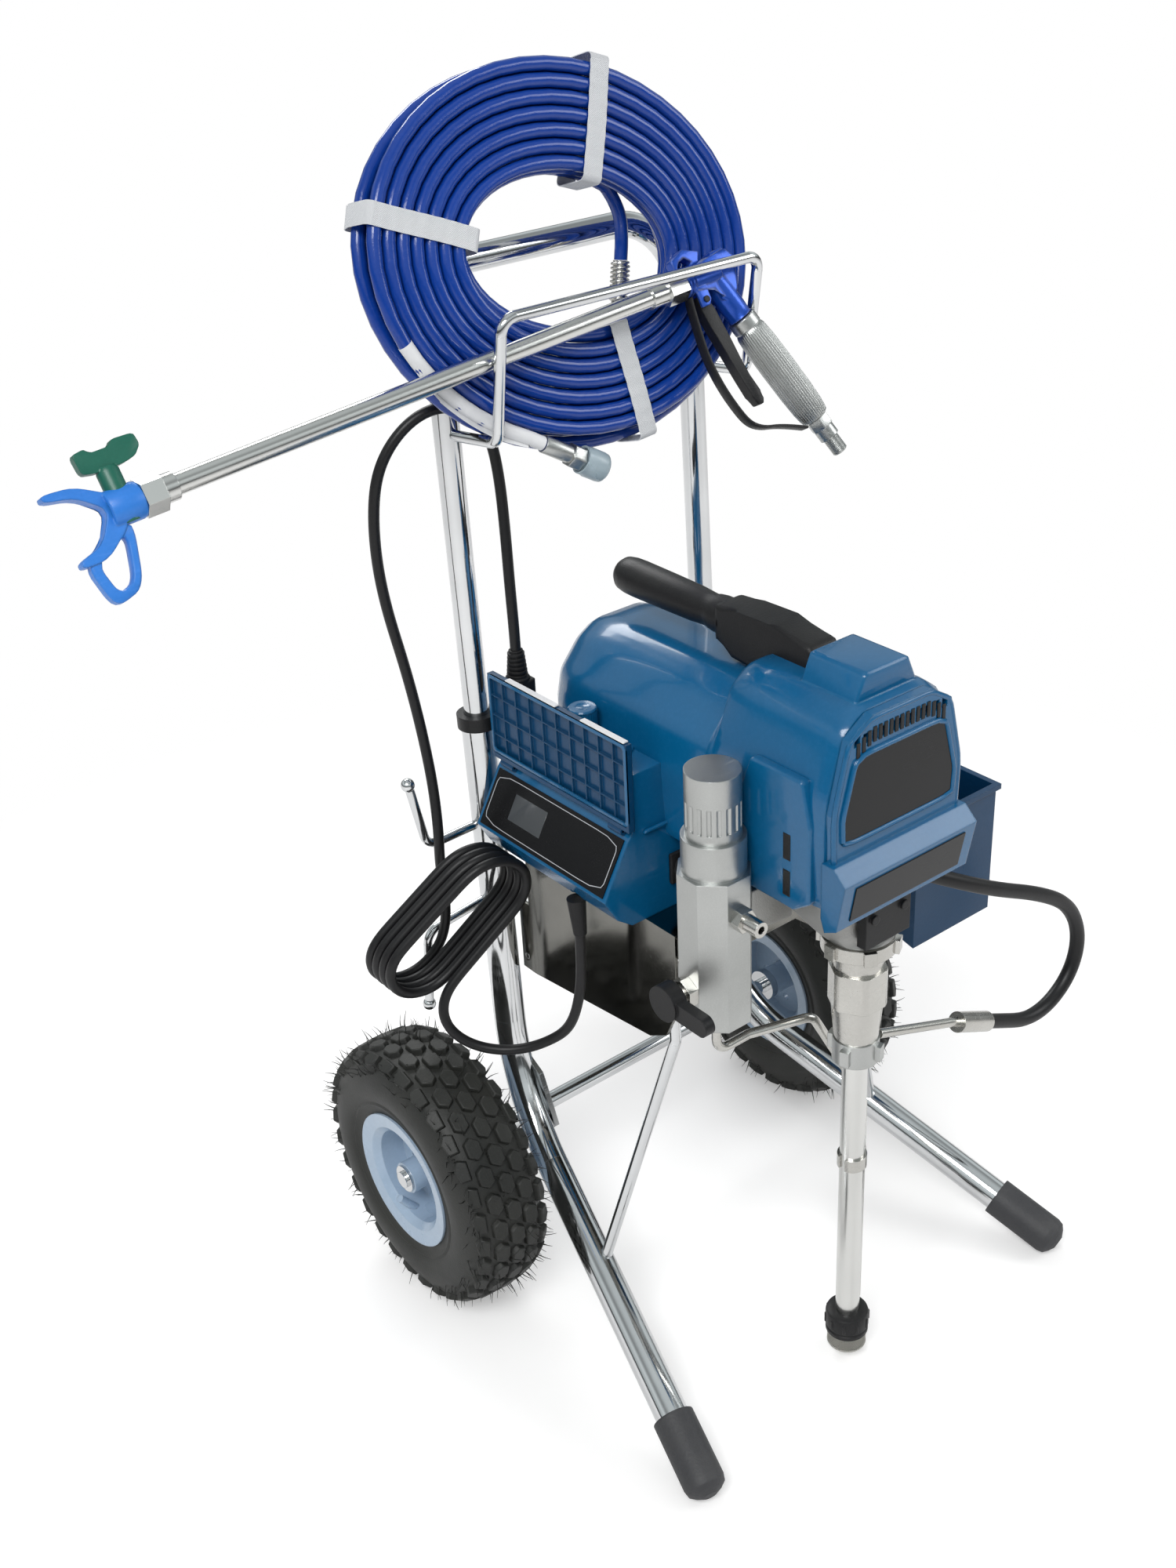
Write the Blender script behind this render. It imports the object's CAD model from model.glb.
import math
import random

import bmesh
import bpy
from mathutils import Matrix, Vector


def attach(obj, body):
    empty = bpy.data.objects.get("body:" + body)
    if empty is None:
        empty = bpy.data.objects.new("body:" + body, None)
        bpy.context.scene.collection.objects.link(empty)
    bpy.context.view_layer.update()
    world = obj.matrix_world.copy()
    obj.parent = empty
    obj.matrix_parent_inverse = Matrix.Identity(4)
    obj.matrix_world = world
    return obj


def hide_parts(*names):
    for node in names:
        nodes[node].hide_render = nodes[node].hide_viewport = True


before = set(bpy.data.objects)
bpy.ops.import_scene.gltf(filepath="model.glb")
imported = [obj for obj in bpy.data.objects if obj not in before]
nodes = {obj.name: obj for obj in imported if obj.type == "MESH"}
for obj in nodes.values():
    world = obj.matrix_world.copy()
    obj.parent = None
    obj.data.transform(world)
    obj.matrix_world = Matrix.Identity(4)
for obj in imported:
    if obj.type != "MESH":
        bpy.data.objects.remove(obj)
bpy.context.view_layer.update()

print("frame loaded", len(nodes))


def addObject(name, data):
    made = bpy.data.objects.new(name, data)
    bpy.context.scene.collection.objects.link(made)
    return made


# camera and light
def aimedMatrix(azimuth, elevation, roll, target, distance):
    a, e = math.radians(azimuth), math.radians(elevation)
    back = Vector((math.sin(a) * math.cos(e), -math.cos(a) * math.cos(e), math.sin(e)))
    right = (-back).cross(Vector((0, 0, 1))).normalized()
    up = right.cross(-back)
    r = math.radians(roll)
    side = math.cos(r) * right + math.sin(r) * up
    top = -math.sin(r) * right + math.cos(r) * up
    m = Matrix((side, top, back)).transposed().to_4x4()
    m.translation = target + back * distance
    return m


cameraSpec = {"azimuth": -36.7808, "elevation": 29.4552, "roll": -3.3057, "distance": 1.400273,
              "target": Vector((-0.150919, -0.150, 0.553174)), "lens": 41.6017,
              "shift": (0.007245, 0.006805)}
cameraData = bpy.data.cameras.new("viewCamera")
cameraData.sensor_fit = "VERTICAL"
cameraData.sensor_height = 36
cameraData.lens = cameraSpec["lens"]
cameraData.shift_x, cameraData.shift_y = cameraSpec["shift"]
cameraData.clip_end = 60
camera = addObject("viewCamera", cameraData)
camera.matrix_world = aimedMatrix(cameraSpec["azimuth"], cameraSpec["elevation"], cameraSpec["roll"],
                                  cameraSpec["target"], cameraSpec["distance"])
bpy.context.scene.camera = camera
bpy.context.scene.view_settings.view_transform = "Standard"


def areaLamp(name, place, aim, size, power):
    data = bpy.data.lights.new(name, "AREA")
    data.shape = "RECTANGLE"
    data.size, data.size_y = size
    data.energy = power
    lamp = addObject(name, data)
    lamp.location = place
    lamp.rotation_euler = (Vector(aim) - Vector(place)).to_track_quat("-Z", "Y").to_euler()


areaLamp("keySoftbox", (-2.2, -1.6, 3.2), (0, -0.1, 0.5), (1.8, 1.2), 84)
areaLamp("fillSoftbox", (2.4, -1.9, 2.2), (0, -0.1, 0.5), (1.5, 1.5), 26)
areaLamp("rearSoftbox", (0.6, 2.4, 2.6), (0, 0, 0.6), (1.6, 0.9), 34)


class Graph:
    def __init__(self, tree):
        self.tree = tree

    def add(self, kind, **values):
        node = self.tree.nodes.new("ShaderNode" + kind)
        for key, value in values.items():
            setattr(node, key, value)
        return node

    def link(self, source, target):
        self.tree.links.new(source, target)

    def feed(self, value, socket):
        if isinstance(value, (int, float)):
            socket.default_value = value
        elif isinstance(value, tuple):
            socket.default_value = (*value, 1)
        else:
            self.link(value, socket)

    def math(self, operation, a, b, clamp=False):
        node = self.add("Math", operation=operation, use_clamp=clamp)
        self.feed(a, node.inputs[0])
        self.feed(b, node.inputs[1])
        return node.outputs[0]

    def noise(self, vector, scale, detail=3, rough=0.55):
        node = self.add("TexNoise")
        for label, value in (("Vector", vector), ("Scale", scale), ("Detail", detail), ("Roughness", rough)):
            self.feed(value, node.inputs[label])
        return node.outputs["Fac"]

    def ramp(self, value, low, high):
        node = self.add("MapRange", clamp=True)
        for label, given in (("Value", value), ("From Min", low), ("From Max", high)):
            self.feed(given, node.inputs[label])
        return node.outputs["Result"]

    def mix(self, factor, a, b):
        node = self.add("Mix", data_type="RGBA")
        for socket, value in ((node.inputs["Factor"], factor), (node.inputs[6], a), (node.inputs[7], b)):
            self.feed(value, socket)
        return node.outputs[2]

    def objectPlace(self):
        return self.add("TexCoord").outputs["Object"]


world = bpy.data.worlds.new("studio")
bpy.context.scene.world = world
world.use_nodes = True
w = Graph(world.node_tree)
w.tree.nodes.clear()
out = w.add("OutputWorld")


def background(strength, color=(1, 1, 1)):
    node = w.add("Background")
    w.feed(color, node.inputs["Color"])
    w.feed(strength, node.inputs["Strength"])
    return node.outputs[0]


# what glossy surfaces mirror: bands from the floor up to the sky
mirrorBands = ((0.0, 0.40), (0.42, 0.34), (0.49, 0.07), (0.56, 0.10), (0.61, 0.52), (0.76, 0.70), (0.88, 0.30),
               (1.0, 0.62))
parts = w.add("SeparateXYZ")
w.link(w.add("TexCoord").outputs["Generated"], parts.inputs[0])
height = w.add("Math", operation="MULTIPLY_ADD")
w.link(parts.outputs["Z"], height.inputs[0])
height.inputs[1].default_value = 0.5
height.inputs[2].default_value = 0.5
bands = w.add("ValToRGB")
bands.color_ramp.interpolation = "EASE"
elements = bands.color_ramp.elements
while len(elements) < len(mirrorBands):
    elements.new(0.5)
for element, (place, value) in zip(elements, mirrorBands):
    element.position = place
    element.color = (value * 0.92, value * 0.99, value, 1)
w.link(height.outputs[0], bands.inputs[0])
path = w.add("LightPath")
firstMix, lastMix = w.add("MixShader"), w.add("MixShader")
for node, sources in ((firstMix, (path.outputs["Is Glossy Ray"], background(0.56), background(1.0, bands.outputs[0]))),
                      (lastMix, (path.outputs["Is Camera Ray"], firstMix.outputs[0], background(1.0)))):
    for i, source in enumerate(sources):
        w.link(source, node.inputs[i])
w.link(lastMix.outputs[0], out.inputs[0])


# shared effects
def newGroup(name, inputs, outputs):
    tree = bpy.data.node_groups.new(name, "ShaderNodeTree")
    for kind, label, default in inputs:
        socket = tree.interface.new_socket(label, in_out="INPUT", socket_type="NodeSocket" + kind)
        if default is not None:
            socket.default_value = default
    for kind, label in outputs:
        tree.interface.new_socket(label, in_out="OUTPUT", socket_type="NodeSocket" + kind)
    g = Graph(tree)
    return g, tree.nodes.new("NodeGroupInput").outputs, tree.nodes.new("NodeGroupOutput").inputs


g, gi, go = newGroup("edgeWear", [("Float", "Radius", 0.0012), ("Float", "Scale", 90.0)],
                     [("Float", "Mask"), ("Vector", "Normal")])
soft = g.add("Bevel", samples=4)
g.link(gi["Radius"], soft.inputs["Radius"])
dot = g.add("VectorMath", operation="DOT_PRODUCT")
g.link(soft.outputs[0], dot.inputs[0])
g.link(g.add("NewGeometry").outputs["Normal"], dot.inputs[1])
edge = g.ramp(g.math("SUBTRACT", 1.0, dot.outputs["Value"]), 0.02, 0.16)
speckle = g.noise(g.objectPlace(), gi["Scale"], 5, 0.5)
g.link(g.math("MULTIPLY", edge, g.ramp(speckle, 0.42, 0.66)), go["Mask"])
g.link(soft.outputs[0], go["Normal"])

g, gi, go = newGroup("surfaceGrain", [("Float", "Scale", 400.0), ("Float", "Height", 0.1), ("Vector", "Normal", None)],
                     [("Float", "Value"), ("Vector", "Normal")])
grain = g.noise(g.objectPlace(), gi["Scale"], 4, 0.5)
bump = g.add("Bump")
bump.inputs["Distance"].default_value = 0.001
for source, label in ((gi["Height"], "Strength"), (grain, "Height"), (gi["Normal"], "Normal")):
    g.link(source, bump.inputs[label])
g.link(grain, go["Value"])
g.link(bump.outputs[0], go["Normal"])

g, gi, go = newGroup("settledDust", [("Float", "Amount", 0.3), ("Float", "Scale", 14.0)], [("Float", "Mask")])
split = g.add("SeparateXYZ")
g.link(g.add("NewGeometry").outputs["Normal"], split.inputs[0])
cloud = g.noise(g.objectPlace(), gi["Scale"], 6, 0.5)
upward = g.ramp(split.outputs["Z"], 0.2, 1.0)
g.link(g.math("MULTIPLY", g.math("MULTIPLY", upward, g.ramp(cloud, 0.4, 0.75)), gi["Amount"]), go["Mask"])

g, gi, go = newGroup("fineScratches", [("Float", "Scale", 60.0)], [("Float", "Mask")])
place = g.objectPlace()
total = None
for turn in ((0.3, 0.2, 0.9), (1.4, 0.7, 0.1), (0.2, 1.3, 0.6)):
    turned = g.add("Mapping")
    g.link(place, turned.inputs["Vector"])
    turned.inputs["Rotation"].default_value = turn
    turned.inputs["Scale"].default_value = (1, 14, 14)
    line = g.ramp(g.noise(turned.outputs[0], gi["Scale"], 1, 0.5), 0.66, 0.72)
    total = line if total is None else g.math("MAXIMUM", total, line)
g.link(total, go["Mask"])

g, gi, go = newGroup("wovenBand", [("Float", "Scale", 900.0)], [("Float", "Height")])
split = g.add("SeparateXYZ")
g.link(g.add("TexCoord").outputs["UV"], split.inputs[0])
warp, weft = (g.math("SINE", g.math("MULTIPLY", split.outputs[axis], gi["Scale"]), 0.5) for axis in "XY")
g.link(g.math("MULTIPLY", warp, weft), go["Height"])


def makeMaterial(name, spec):
    material = bpy.data.materials.new(name)
    material.use_nodes = True
    m = Graph(material.node_tree)
    shader = m.tree.nodes["Principled BSDF"]
    place = m.objectPlace()

    def group(label, **values):
        node = m.add("Group", node_tree=bpy.data.node_groups[label])
        for key, value in values.items():
            node.inputs[key].default_value = value
        return node

    color, second = spec["color"], spec.get("second", tuple(c * 0.8 for c in spec["color"]))
    base = m.mix(m.ramp(m.noise(place, 9, 5), 0.35, 0.7), color, second)
    smudges = m.noise(place, spec.get("smudge", 22), 4)
    rough = m.math("ADD", m.math("MULTIPLY", smudges, spec.get("roughSpan", 0.12)), spec["rough"])
    wear = group("edgeWear", Radius=spec.get("round", 0.0012))
    if spec.get("wear", 0):
        base = m.mix(m.math("MULTIPLY", wear.outputs["Mask"], spec["wear"]), base, spec["wearColor"])
    normal = wear.outputs["Normal"]
    if spec.get("grain", 0):
        fine = group("surfaceGrain", Scale=spec.get("grainScale", 500), Height=spec["grain"])
        m.link(normal, fine.inputs["Normal"])
        normal = fine.outputs["Normal"]
        base = m.mix(m.math("MULTIPLY", m.ramp(fine.outputs["Value"], 0.45, 0.75), 0.1), base,
                     tuple(min(1, c * 1.5 + 0.02) for c in color))
    if spec.get("scratch", 0):
        marks = group("fineScratches", Scale=spec.get("scratchScale", 40))
        faint = m.math("MULTIPLY", marks.outputs[0], spec["scratch"])
        rough = m.math("ADD", rough, faint, clamp=True)
        base = m.mix(m.math("MULTIPLY", faint, 0.6), base, tuple(min(1, c * 1.3 + 0.08) for c in color))
    if spec.get("dust", 0):
        dust = group("settledDust", Amount=spec["dust"] * 0.3)
        base = m.mix(dust.outputs[0], base, (0.40, 0.39, 0.36))
        rough = m.math("ADD", rough, m.math("MULTIPLY", dust.outputs[0], 0.5), clamp=True)
    if spec.get("weave", 0):
        woven = group("wovenBand", Scale=spec["weaveScale"])
        bump = m.add("Bump")
        bump.inputs["Strength"].default_value = spec["weave"]
        bump.inputs["Distance"].default_value = 0.0006
        m.link(woven.outputs[0], bump.inputs["Height"])
        m.link(normal, bump.inputs["Normal"])
        normal = bump.outputs[0]
        base = m.mix(m.math("MULTIPLY", m.ramp(woven.outputs[0], -0.2, 0.9), 0.25), base, tuple(c * 0.7 for c in color))
    m.link(base, shader.inputs["Base Color"])
    m.link(rough, shader.inputs["Roughness"])
    m.link(normal, shader.inputs["Normal"])
    shader.inputs["Metallic"].default_value = spec.get("metal", 0)
    shader.inputs["Specular IOR Level"].default_value = spec.get("specular", 0.5)
    shader.inputs["Coat Weight"].default_value = spec.get("coat", 0)
    shader.inputs["Coat Roughness"].default_value = spec.get("coatRough", 0.08)
    if spec.get("clear", 0):
        shader.inputs["Transmission Weight"].default_value = spec["clear"]
    return material


looks = {
    "chrome": {"color": (0.78, 0.79, 0.80), "second": (0.66, 0.67, 0.68), "metal": 1, "rough": 0.035,
               "roughSpan": 0.1, "scratch": 0.05, "scratchScale": 30, "dust": 0.12, "round": 0.0008},
    "steel": {"color": (0.62, 0.61, 0.58), "second": (0.50, 0.49, 0.46), "metal": 1, "rough": 0.16, "roughSpan": 0.16,
              "scratch": 0.04, "grain": 0.02, "round": 0.0008},
    "tube": {"color": (0.76, 0.76, 0.74), "second": (0.70, 0.70, 0.68), "metal": 1, "rough": 0.17, "roughSpan": 0.05,
             "scratch": 0.04, "smudge": 6, "round": 0.0006},
    "alloy": {"color": (0.52, 0.53, 0.52), "second": (0.42, 0.43, 0.42), "metal": 1, "rough": 0.26, "roughSpan": 0.14,
              "grain": 0.08, "grainScale": 900, "scratch": 0.15, "dust": 0.1, "round": 0.001},
    "casting": {"color": (0.46, 0.46, 0.45), "second": (0.34, 0.34, 0.33), "metal": 1, "rough": 0.42,
                "grain": 0.35, "grainScale": 700, "dust": 0.2, "round": 0.0018},
    "tray": {"color": (0.24, 0.235, 0.215), "second": (0.17, 0.168, 0.155), "metal": 1, "rough": 0.07, "roughSpan": 0.1,
             "smudge": 7, "scratch": 0.05, "dust": 0.2, "round": 0.001},
    "rubber": {"color": (0.010, 0.010, 0.011), "rough": 0.44, "grain": 0.12, "grainScale": 600, "dust": 0.12,
               "specular": 0.3, "wear": 0.2, "wearColor": (0.05, 0.05, 0.05)},
    "cap": {"color": (0.035, 0.036, 0.040), "rough": 0.5, "grain": 0.35, "grainScale": 420, "dust": 0.35,
            "wear": 0.4, "wearColor": (0.14, 0.14, 0.15), "round": 0.003},
    "tyre": {"color": (0.011, 0.012, 0.011), "second": (0.019, 0.020, 0.017), "rough": 0.42, "roughSpan": 0.2,
             "grain": 0.2, "grainScale": 500, "dust": 0.18, "specular": 0.45, "wear": 0.3,
             "wearColor": (0.06, 0.06, 0.055)},
    "rim": {"color": (0.34, 0.44, 0.56), "second": (0.30, 0.40, 0.52), "rough": 0.2, "coat": 0.4, "grain": 0.08,
            "grainScale": 220, "dust": 0.15, "wear": 0.3, "wearColor": (0.55, 0.58, 0.62), "round": 0.0015},
    "shell": {"color": (0.0015, 0.098, 0.235), "second": (0.0015, 0.088, 0.215), "rough": 0.13, "roughSpan": 0.1,
              "coat": 0.35, "coatRough": 0.05, "specular": 0.4, "grain": 0.03, "grainScale": 260, "scratch": 0.05,
              "dust": 0.1, "wear": 0.3, "wearColor": (0.03, 0.20, 0.36), "round": 0.0022},
    "deep": {"color": (0.002, 0.045, 0.118), "second": (0.002, 0.038, 0.100), "rough": 0.24, "roughSpan": 0.14,
             "specular": 0.35, "grain": 0.05, "grainScale": 320, "scratch": 0.08, "dust": 0.15, "wear": 0.4,
             "wearColor": (0.02, 0.11, 0.22), "round": 0.0012},
    "black": {"color": (0.009, 0.009, 0.010), "rough": 0.36, "specular": 0.32, "grain": 0.16, "grainScale": 800,
              "scratch": 0.05, "dust": 0.12, "wear": 0.3, "wearColor": (0.06, 0.06, 0.06), "round": 0.0014},
    "panel": {"color": (0.006, 0.006, 0.007), "rough": 0.2, "roughSpan": 0.08, "specular": 0.3, "scratch": 0.03,
              "dust": 0.05, "round": 0.0004},
    "copper": {"color": (0.50, 0.24, 0.12), "metal": 1, "rough": 0.35, "grain": 0.2},
    "screen": {"color": (0.55, 0.54, 0.50), "metal": 1, "rough": 0.35, "grain": 0.4, "grainScale": 1500},
    "hose": {"color": (0.003, 0.040, 0.270), "second": (0.003, 0.034, 0.235), "rough": 0.13, "roughSpan": 0.1,
             "coat": 0.2, "specular": 0.42, "grain": 0.08, "grainScale": 420, "dust": 0.04, "scratch": 0.06,
             "round": 0.0001},
    "cord": {"color": (0.008, 0.008, 0.009), "rough": 0.34, "roughSpan": 0.14, "specular": 0.35, "grain": 0.08,
             "grainScale": 500, "dust": 0.06, "round": 0.0001},
    "gun": {"color": (0.010, 0.075, 0.46), "second": (0.008, 0.06, 0.38), "metal": 0.55, "rough": 0.24, "coat": 0.3,
            "grain": 0.12, "grainScale": 600, "wear": 0.5, "wearColor": (0.45, 0.50, 0.60), "round": 0.0016},
    "tipBlue": {"color": (0.025, 0.19, 0.62), "second": (0.02, 0.16, 0.55), "rough": 0.3, "grain": 0.06,
                "scratch": 0.15, "wear": 0.2, "wearColor": (0.2, 0.42, 0.8), "round": 0.002},
    "tipGreen": {"color": (0.006, 0.115, 0.075), "second": (0.005, 0.09, 0.06), "rough": 0.32, "grain": 0.06,
                 "wear": 0.3, "wearColor": (0.06, 0.3, 0.22), "round": 0.0012},
    "band": {"color": (0.70, 0.72, 0.74), "second": (0.60, 0.62, 0.65), "rough": 0.6, "weave": 0.6,
             "weaveScale": 4200.0, "dust": 0.1, "round": 0.0001},
    "paper": {"color": (0.72, 0.73, 0.74), "second": (0.62, 0.63, 0.65), "rough": 0.5, "grain": 0.3,
              "grainScale": 160, "round": 0.0001},
    "capClear": {"color": (0.55, 0.66, 0.72), "second": (0.45, 0.56, 0.62), "rough": 0.22, "clear": 0.45,
                 "grain": 0.05, "round": 0.001},
    "glass": {"color": (0.06, 0.065, 0.07), "second": (0.045, 0.05, 0.055), "rough": 0.08, "coat": 0.5,
              "round": 0.0004},
    "line": {"color": (0.50, 0.52, 0.55), "rough": 0.4, "grain": 0.05, "round": 0.0002},
}
materials = {name: makeMaterial(name, spec) for name, spec in looks.items()}

finish = {
    "chrome": "leg_left leg_right axle platform_bolts brace_rods cord_hooks handle_tube hose_cradle",
    "steel": "jam_nut pump_cylinder outlet_nipple drain_valve crank piston_rod hose_end_b drain_tube fluid_pipe",
    "tube": "suction_tube lance",
    "alloy": "manifold_body manifold_cap intake_housing gun_grip hose_end_a",
    "casting": "motor_can drive_housing",
    "tray": "platform",
    "cap": "foot_caps",
    "rubber": "strain_relief power_plug pump_hose cord_to_box cord_hank cord_to_plug",
    "black": "sleeve_collars carry_handle front_guard strainer drain_lever trigger trigger_guard",
    "panel": "badge_plates panel_plate",
    "tyre": "tyre_left tyre_right", "rim": "rim_left rim_right",
    "shell": "motor_shroud front_cover control_box pressure_knob",
    "deep": "box_lid tool_bucket", "copper": "motor_rotor", "screen": "manifold_filter",
    "hose": "hose_coil", "band": "coil_ties", "gun": "gun_body", "tipBlue": "tip_guard", "tipGreen": "spray_tip",
}
for look, names in finish.items():
    for name in names.split():
        node = nodes[name]
        node.data.materials.clear()
        node.data.materials.append(materials[look])
print("materials set")


# mesh helpers
def shadeByAngle(mesh, degrees=38):
    bm = bmesh.new()
    bm.from_mesh(mesh)
    limit = math.radians(degrees)
    for face in bm.faces:
        face.smooth = True
    for e in bm.edges:
        e.smooth = len(e.link_faces) == 2 and e.calc_face_angle(0) < limit
    bm.to_mesh(mesh)
    bm.free()


def makePiece(name, bm, look, degrees=38):
    mesh = bpy.data.meshes.new(name)
    bmesh.ops.recalc_face_normals(bm, faces=bm.faces)
    bm.to_mesh(mesh)
    bm.free()
    shadeByAngle(mesh, degrees)
    mesh.materials.append(materials[look])
    piece = addObject(name, mesh)
    return piece


def lathe(bm, profile, matrix, steps=64):
    rings = []
    for r, h in profile:
        if r < 1e-6:
            rings.append([bm.verts.new(matrix @ Vector((0, 0, h)))])
        else:
            rings.append([bm.verts.new(matrix @ Vector((r * math.cos(2 * math.pi * i / steps),
                         r * math.sin(2 * math.pi * i / steps), h))) for i in range(steps)])
    for a, b in zip(rings, rings[1:]):
        for i in range(steps):
            j = (i + 1) % steps
            corners = [a[i % len(a)], a[j % len(a)], b[j % len(b)], b[i % len(b)]]
            unique = list(dict.fromkeys(corners))
            if len(unique) > 2:
                bm.faces.new(unique)


def extrude(bm, outline, depth, matrix, bevel=0, segments=2):
    low = [bm.verts.new(matrix @ Vector((x, y, 0))) for x, y in outline]
    high = [bm.verts.new(matrix @ Vector((x, y, depth))) for x, y in outline]
    faces = [bm.faces.new(low[::-1]), bm.faces.new(high)]
    n = len(outline)
    faces += [bm.faces.new((low[i], low[(i + 1) % n], high[(i + 1) % n], high[i])) for i in range(n)]
    if bevel:
        edges = list(dict.fromkeys(e for f in faces for e in f.edges))  # in the same order every run
        bmesh.ops.bevel(bm, geom=edges, offset=bevel, segments=segments, affect="EDGES", profile=0.6,
                        clamp_overlap=True)


def stitch(bm, rings, around=False):
    n = len(rings[0])
    for a, b in zip(rings, rings[1:] + rings[:1] if around else rings[1:]):
        for i in range(n):
            bm.faces.new((a[i], a[(i + 1) % n], b[(i + 1) % n], b[i]))


def frameAlong(points):
    tangents = []
    for i in range(len(points)):
        a, b = points[max(0, i - 1)], points[min(len(points) - 1, i + 1)]
        tangents.append((b - a).normalized())
    up = Vector((0, 0, 1)) if abs(tangents[0].z) < 0.9 else Vector((1, 0, 0))
    side = tangents[0].cross(up).normalized()
    frames = []
    for t in tangents:
        side = (side - t * side.dot(t)).normalized()
        frames.append((side, t.cross(side)))
    return frames


def sweep(bm, points, outline, closed=True):
    points = [Vector(p) for p in points]
    rings = []
    for i, (p, (u, v)) in enumerate(zip(points, frameAlong(points))):
        shapeHere = outline(i / (len(points) - 1)) if callable(outline) else outline
        rings.append([bm.verts.new(p + u * x + v * y) for x, y in shapeHere])
    stitch(bm, rings)
    if closed:
        bm.faces.new(rings[0][::-1])
        bm.faces.new(rings[-1])


def circle(r, sides=16):
    return [(r * math.cos(2 * math.pi * i / sides), r * math.sin(2 * math.pi * i / sides)) for i in range(sides)]


def hexagon(r):
    return [(r * math.cos(math.radians(60 * k)), r * math.sin(math.radians(60 * k))) for k in range(6)]


def cutCorners(outline, passes, cut):
    points = [Vector((x, y, 0)) for x, y in outline]
    for _ in range(passes):
        points = [p for a, b in zip(points, points[1:] + points[:1]) for p in (a.lerp(b, cut), a.lerp(b, 1 - cut))]
    return points


def smoothLine(points, passes):
    points = [Vector(p) for p in points]
    for _ in range(passes):
        rounded = [points[0]]
        for a, b in zip(points, points[1:]):
            rounded += [a.lerp(b, 0.25), a.lerp(b, 0.75)]
        rounded.append(points[-1])
        points = rounded
    return points


def tubeCurve(name, points, radius, look):
    curve = bpy.data.curves.new(name, "CURVE")
    curve.dimensions = "3D"
    curve.bevel_depth = radius
    curve.bevel_resolution = 4
    curve.use_fill_caps = True
    spline = curve.splines.new("POLY")
    spline.points.add(len(points) - 1)
    for point, p in zip(spline.points, points):
        point.co = (*p, 1)
    spline.use_smooth = True
    curve.materials.append(materials[look])
    piece = addObject(name, curve)
    return piece


def lineLength(points):
    return sum((b - a).length for a, b in zip(points, points[1:]))


def millimetres(points):
    return [Vector(p) / 1000 for p in points]


def evenPoints(points, steps):
    marks = [0]
    for a, b in zip(points, points[1:]):
        marks.append(marks[-1] + (b - a).length)
    k, even = 0, []
    for i in range(steps + 1):
        t = marks[-1] * i / steps
        while k < len(marks) - 2 and marks[k + 1] < t:
            k += 1
        even.append(points[k].lerp(points[k + 1], (t - marks[k]) / max(1e-9, marks[k + 1] - marks[k])))
    return even


def axisMatrix(place, direction):
    m = Vector(direction).normalized().to_track_quat("Z", "Y").to_matrix().to_4x4()
    m.translation = Vector(place)
    return m


def sideWall(x):  # an outline in y and z, its depth along x
    return Matrix(((0, 0, 1, x), (1, 0, 0, 0), (0, 1, 0, 0), (0, 0, 0, 1)))


def frontWallAt(x, y):  # an outline in x and z, its depth along -y
    return Matrix.Translation((x, y, 0)) @ Matrix.Rotation(math.pi / 2, 4, "X")


# cords and hoses first
hank = {"mid": Vector((-199, -22.5, 395.5)), "turns": 4, "half": 75, "fold": 33.5, "gap": 10.2,
        "long": (0.72, -0.2, 0.66), "short": (-0.69, 0.7)}


def hankPoint(u):
    fold, straight = hank["fold"], hank["half"] - hank["fold"]
    bend, side = math.pi * fold, 2 * straight
    s = (u % 1) * 2 * (side + bend)
    if s < side:
        x, z = -straight + s, -fold
    elif s < side + bend:
        a = (s - side) / fold - math.pi / 2
        x, z = straight + fold * math.cos(a), fold * math.sin(a)
    elif s < 2 * side + bend:
        x, z = straight - (s - side - bend), fold
    else:
        a = (s - 2 * side - bend) / fold + math.pi / 2
        x, z = -straight + fold * math.cos(a), fold * math.sin(a)
    (lx, ly, lz), (sx, sz) = hank["long"], hank["short"]
    shift = hank["gap"] * (u - hank["turns"] / 2)
    return hank["mid"] + Vector((x * lx + z * sx, x * ly + shift, x * lz + z * sz))


def bridge(a, b, tangentA, tangentB, reach, steps):
    c, d = a + tangentA * reach, b - tangentB * reach
    return [a * (1 - t) ** 3 + c * 3 * t * (1 - t) ** 2 + d * 3 * t * t * (1 - t) + b * t ** 3
            for t in (i / steps for i in range(1, steps))]


def heading(points, index):
    return (points[index] - points[index - 1]).normalized()


def relax(points, passes, step=4):
    even = evenPoints(points, int(lineLength(points) / step))
    for _ in range(passes):
        middle = [(a + c) * 0.25 + b * 0.5 for a, b, c in zip(even, even[1:], even[2:])]
        even = even[:2] + middle[1:-1] + even[-2:]
    return even


hankPoints = [hankPoint(i / 40) for i in range(hank["turns"] * 40 + 1)]
boxRun = smoothLine([(-139.25, -127.5, 421), (-139, -128, 400), (-139.5, -126, 350), (-146, -116, 306),
                     (-159, -100, 292)], 3)
plugRun = smoothLine([(-186, 3, 440), (-184, 3, 470), (-180, 12, 520),
                      (-184, 24, 600), (-196, 34, 680), (-198, 32, 744), (-190, 26, 790), (-160, 16, 822),
                      (-126, 8.5, 824), (-101, 4, 800), (-97, 0, 762), (-100, -7, 720), (-105, -15, 672),
                      (-106, -18, 636), (-106, -18, 612)], 4)
joinOne = bridge(boxRun[-1], hankPoints[0], heading(boxRun, -1), heading(hankPoints, 1), 62, 24)
joinTwo = bridge(hankPoints[-1], plugRun[0], heading(hankPoints, -1), Vector((0, 0, 1)), 34, 20)
cordLine = millimetres(relax(boxRun + joinOne + hankPoints + joinTwo + plugRun, 8))
powerCord = tubeCurve("powerCord", cordLine, 0.0045, "cord")
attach(powerCord, "cart")
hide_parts("cord_to_box", "cord_hank", "cord_to_plug")

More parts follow.
